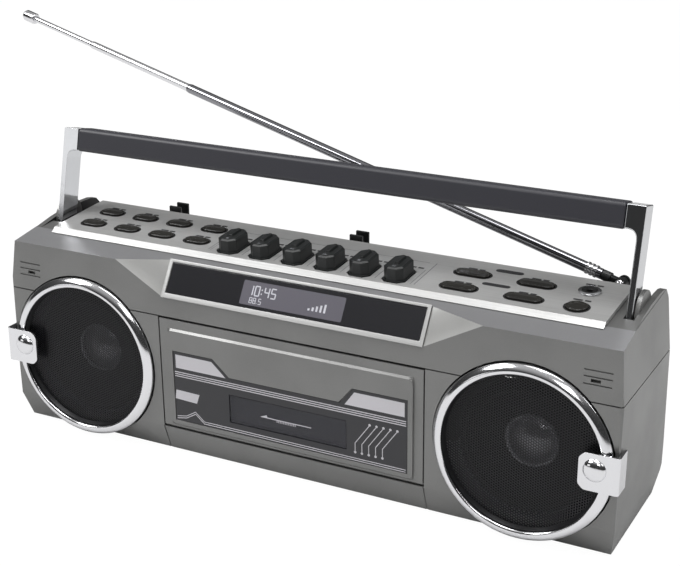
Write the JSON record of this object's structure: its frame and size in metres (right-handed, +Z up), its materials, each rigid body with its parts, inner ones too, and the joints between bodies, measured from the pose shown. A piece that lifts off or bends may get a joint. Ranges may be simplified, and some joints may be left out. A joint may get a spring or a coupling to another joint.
{
  "type": "radio-cassette recorder",
  "caption": "Portable stereo radio-cassette recorder with front speakers, a cassette door, piano keys, a sloping display, a fold-back carry handle and a telescopic aerial.",
  "frame": {"origin": "on the surface that the object stands on, under the middle of the body", "axes": "+Z up, -Y towards the user (the front with the speakers), +X to the user's right"},
  "size_m": [0.4814, 0.1615, 0.2263],
  "materials": {
    "silver_plastic": "fine metallic silver-grey paint",
    "brushed_plate": "satin",
    "bright_chrome": "mirror",
    "black_plastic": "fine satin",
    "gloss_black": "gloss",
    "grip_plastic": "satin",
    "dark_trim": "semi-gloss printed sheet",
    "smoked_window": "smoked clear plastic",
    "display_grey": "liquid crystal display",
    "rubber": "matte",
    "black_mesh": "perforated, satin black",
    "speaker_black": "paper cone and steel basket",
    "plain_steel": "plated",
    "green_board": "solder mask"
  },
  "bodies": {
    "cabinet": {"lower_cabinet": "silver_plastic", "upper_cabinet": "silver_plastic", "rear_cover": "black_plastic", "mains_inlet": "black_plastic", "front_foot": "rubber", "rear_foot": "rubber", "control_panel": "brushed_plate", "headphone_jack": "gloss_black", "display_bezel": "brushed_plate", "display_glass": "smoked_window", "display_module": "display_grey", "tape_deck_plate": "plain_steel", "tape_head": "plain_steel", "deck_motor": "plain_steel", "circuit_board": "green_board", "speaker_ring_left": "bright_chrome", "speaker_ring_right": "bright_chrome", "speaker_grille_left": "black_mesh", "speaker_grille_right": "black_mesh", "speaker_driver_left": "speaker_black", "speaker_driver_right": "speaker_black", "corner_clasp_left": "bright_chrome", "corner_clasp_right": "bright_chrome", "aerial_clip_1": "black_plastic", "aerial_clip_2": "black_plastic"},
    "cassette_door": {"cassette_door": "silver_plastic", "door_trim": "dark_trim", "door_window": "smoked_window"},
    "battery_door": {"battery_door": "black_plastic"},
    "handle": {"handle_grip": "grip_plastic", "handle_arm_left": "bright_chrome", "handle_arm_right": "bright_chrome"},
    "aerial_swivel": {"aerial_base": "black_plastic"},
    "aerial_lower": {"aerial_knuckle": "black_plastic", "aerial_tube_1": "bright_chrome"},
    "aerial_middle": {"aerial_tube_2": "bright_chrome"},
    "aerial_upper": {"aerial_tube_3": "bright_chrome"},
    "supply_spindle": {"supply_spindle": "black_plastic"},
    "take_up_spindle": {"take_up_spindle": "black_plastic"},
    "capstan": {"capstan_flywheel": "plain_steel"},
    "pinch_roller": {"pinch_roller": "rubber"},
    "record_key": {"record_key": "black_plastic"},
    "play_key": {"play_key": "black_plastic"},
    "rewind_key": {"rewind_key": "black_plastic"},
    "fast_forward_key": {"fast_forward_key": "black_plastic"},
    "stop_eject_key": {"stop_eject_key": "black_plastic"},
    "pause_key": {"pause_key": "black_plastic"},
    "front_button_1": {"front_button_1": "gloss_black"},
    "front_button_2": {"front_button_2": "gloss_black"},
    "front_button_3": {"front_button_3": "gloss_black"},
    "front_button_4": {"front_button_4": "gloss_black"},
    "rear_button_1": {"rear_button_1": "gloss_black"},
    "rear_button_2": {"rear_button_2": "gloss_black"},
    "rear_button_3": {"rear_button_3": "gloss_black"},
    "rear_button_4": {"rear_button_4": "gloss_black"},
    "volume_down_button": {"volume_down_button": "gloss_black"},
    "volume_up_button": {"volume_up_button": "gloss_black"},
    "tuning_down_button": {"tuning_down_button": "gloss_black"},
    "tuning_up_button": {"tuning_up_button": "gloss_black"},
    "round_button": {"round_button": "gloss_black"}
  },
  "joints": [
    {"name": "cassette_door_hinge", "type": "hinge", "parent": "cabinet", "child": "cassette_door", "pos_m": [0, -0.0395, 0.02], "axis": [1, 0, 0], "range_deg": [0, 32]},
    {"name": "battery_door_pull", "type": "slide", "parent": "cabinet", "child": "battery_door", "axis": [0, 1, 0], "range_m": [0, 0.02]},
    {"name": "handle_fold", "type": "hinge", "parent": "cabinet", "child": "handle", "pos_m": [0, -0.0004, 0.11497], "axis": [1, 0, 0], "range_deg": [-34, 0]},
    {"name": "aerial_swivel_turn", "type": "hinge", "parent": "cabinet", "child": "aerial_swivel", "pos_m": [0.1631, 0.035, 0.1238], "axis": [0, 0, -1], "range_deg": [-9.1, 110]},
    {"name": "aerial_tilt", "type": "hinge", "parent": "aerial_swivel", "child": "aerial_lower", "pos_m": [0.1631, 0.035, 0.1238], "axis": [0.1582, 0.9874, 0], "range_deg": [-12.2, 77.8]},
    {"name": "aerial_middle_slide", "type": "slide", "parent": "aerial_lower", "child": "aerial_middle", "axis": [-0.9651, 0.1546, 0.2113], "range_m": [-0.086, 0.15]},
    {"name": "aerial_upper_slide", "type": "slide", "parent": "aerial_middle", "child": "aerial_upper", "axis": [-0.9651, 0.1546, 0.2113], "range_m": [-0.054, 0.19]},
    {"name": "supply_spindle_spin", "type": "hinge", "parent": "cabinet", "child": "supply_spindle", "pos_m": [-0.02125, -0.0217, 0.0507], "axis": [0, -1, 0], "continuous": true},
    {"name": "take_up_spindle_spin", "type": "hinge", "parent": "cabinet", "child": "take_up_spindle", "pos_m": [0.02125, -0.0217, 0.0507], "axis": [0, -1, 0], "continuous": true},
    {"name": "capstan_spin", "type": "hinge", "parent": "cabinet", "child": "capstan", "pos_m": [0.026, -0.0217, 0.08], "axis": [0, -1, 0], "continuous": true},
    {"name": "pinch_roller_spin", "type": "hinge", "parent": "cabinet", "child": "pinch_roller", "pos_m": [0.026, -0.0217, 0.0883], "axis": [0, -1, 0], "continuous": true},
    {"name": "record_key_press", "type": "slide", "parent": "cabinet", "child": "record_key", "axis": [0, 0.0715, -0.9974], "range_m": [0, 0.005], "stiffness_N_per_m": 300},
    {"name": "play_key_press", "type": "slide", "parent": "cabinet", "child": "play_key", "axis": [0, 0.0715, -0.9974], "range_m": [0, 0.005], "stiffness_N_per_m": 300},
    {"name": "rewind_key_press", "type": "slide", "parent": "cabinet", "child": "rewind_key", "axis": [0, 0.0715, -0.9974], "range_m": [0, 0.005], "stiffness_N_per_m": 300},
    {"name": "fast_forward_key_press", "type": "slide", "parent": "cabinet", "child": "fast_forward_key", "axis": [0, 0.0715, -0.9974], "range_m": [0, 0.005], "stiffness_N_per_m": 300},
    {"name": "stop_eject_key_press", "type": "slide", "parent": "cabinet", "child": "stop_eject_key", "axis": [0, 0.0715, -0.9974], "range_m": [0, 0.005], "stiffness_N_per_m": 300},
    {"name": "pause_key_press", "type": "slide", "parent": "cabinet", "child": "pause_key", "axis": [0, 0.0715, -0.9974], "range_m": [0, 0.005], "stiffness_N_per_m": 300},
    {"name": "front_button_1_press", "type": "slide", "parent": "cabinet", "child": "front_button_1", "axis": [0, 0.0715, -0.9974], "range_m": [0, 0.001], "stiffness_N_per_m": 400},
    {"name": "front_button_2_press", "type": "slide", "parent": "cabinet", "child": "front_button_2", "axis": [0, 0.0715, -0.9974], "range_m": [0, 0.001], "stiffness_N_per_m": 400},
    {"name": "front_button_3_press", "type": "slide", "parent": "cabinet", "child": "front_button_3", "axis": [0, 0.0715, -0.9974], "range_m": [0, 0.001], "stiffness_N_per_m": 400},
    {"name": "front_button_4_press", "type": "slide", "parent": "cabinet", "child": "front_button_4", "axis": [0, 0.0715, -0.9974], "range_m": [0, 0.001], "stiffness_N_per_m": 400},
    {"name": "rear_button_1_press", "type": "slide", "parent": "cabinet", "child": "rear_button_1", "axis": [0, 0.0715, -0.9974], "range_m": [0, 0.001], "stiffness_N_per_m": 400},
    {"name": "rear_button_2_press", "type": "slide", "parent": "cabinet", "child": "rear_button_2", "axis": [0, 0.0715, -0.9974], "range_m": [0, 0.001], "stiffness_N_per_m": 400},
    {"name": "rear_button_3_press", "type": "slide", "parent": "cabinet", "child": "rear_button_3", "axis": [0, 0.0715, -0.9974], "range_m": [0, 0.001], "stiffness_N_per_m": 400},
    {"name": "rear_button_4_press", "type": "slide", "parent": "cabinet", "child": "rear_button_4", "axis": [0, 0.0715, -0.9974], "range_m": [0, 0.001], "stiffness_N_per_m": 400},
    {"name": "volume_down_button_press", "type": "slide", "parent": "cabinet", "child": "volume_down_button", "axis": [0, 0.0715, -0.9974], "range_m": [0, 0.001], "stiffness_N_per_m": 400},
    {"name": "volume_up_button_press", "type": "slide", "parent": "cabinet", "child": "volume_up_button", "axis": [0, 0.0715, -0.9974], "range_m": [0, 0.001], "stiffness_N_per_m": 400},
    {"name": "tuning_down_button_press", "type": "slide", "parent": "cabinet", "child": "tuning_down_button", "axis": [0, 0.0715, -0.9974], "range_m": [0, 0.001], "stiffness_N_per_m": 400},
    {"name": "tuning_up_button_press", "type": "slide", "parent": "cabinet", "child": "tuning_up_button", "axis": [0, 0.0715, -0.9974], "range_m": [0, 0.001], "stiffness_N_per_m": 400},
    {"name": "round_button_press", "type": "slide", "parent": "cabinet", "child": "round_button", "axis": [0, 0.0715, -0.9974], "range_m": [0, 0.001], "stiffness_N_per_m": 400}
  ],
  "couplings": [
    {"joint": "pinch_roller_spin", "follows": "capstan_spin", "ratio": -0.1846}
  ]
}
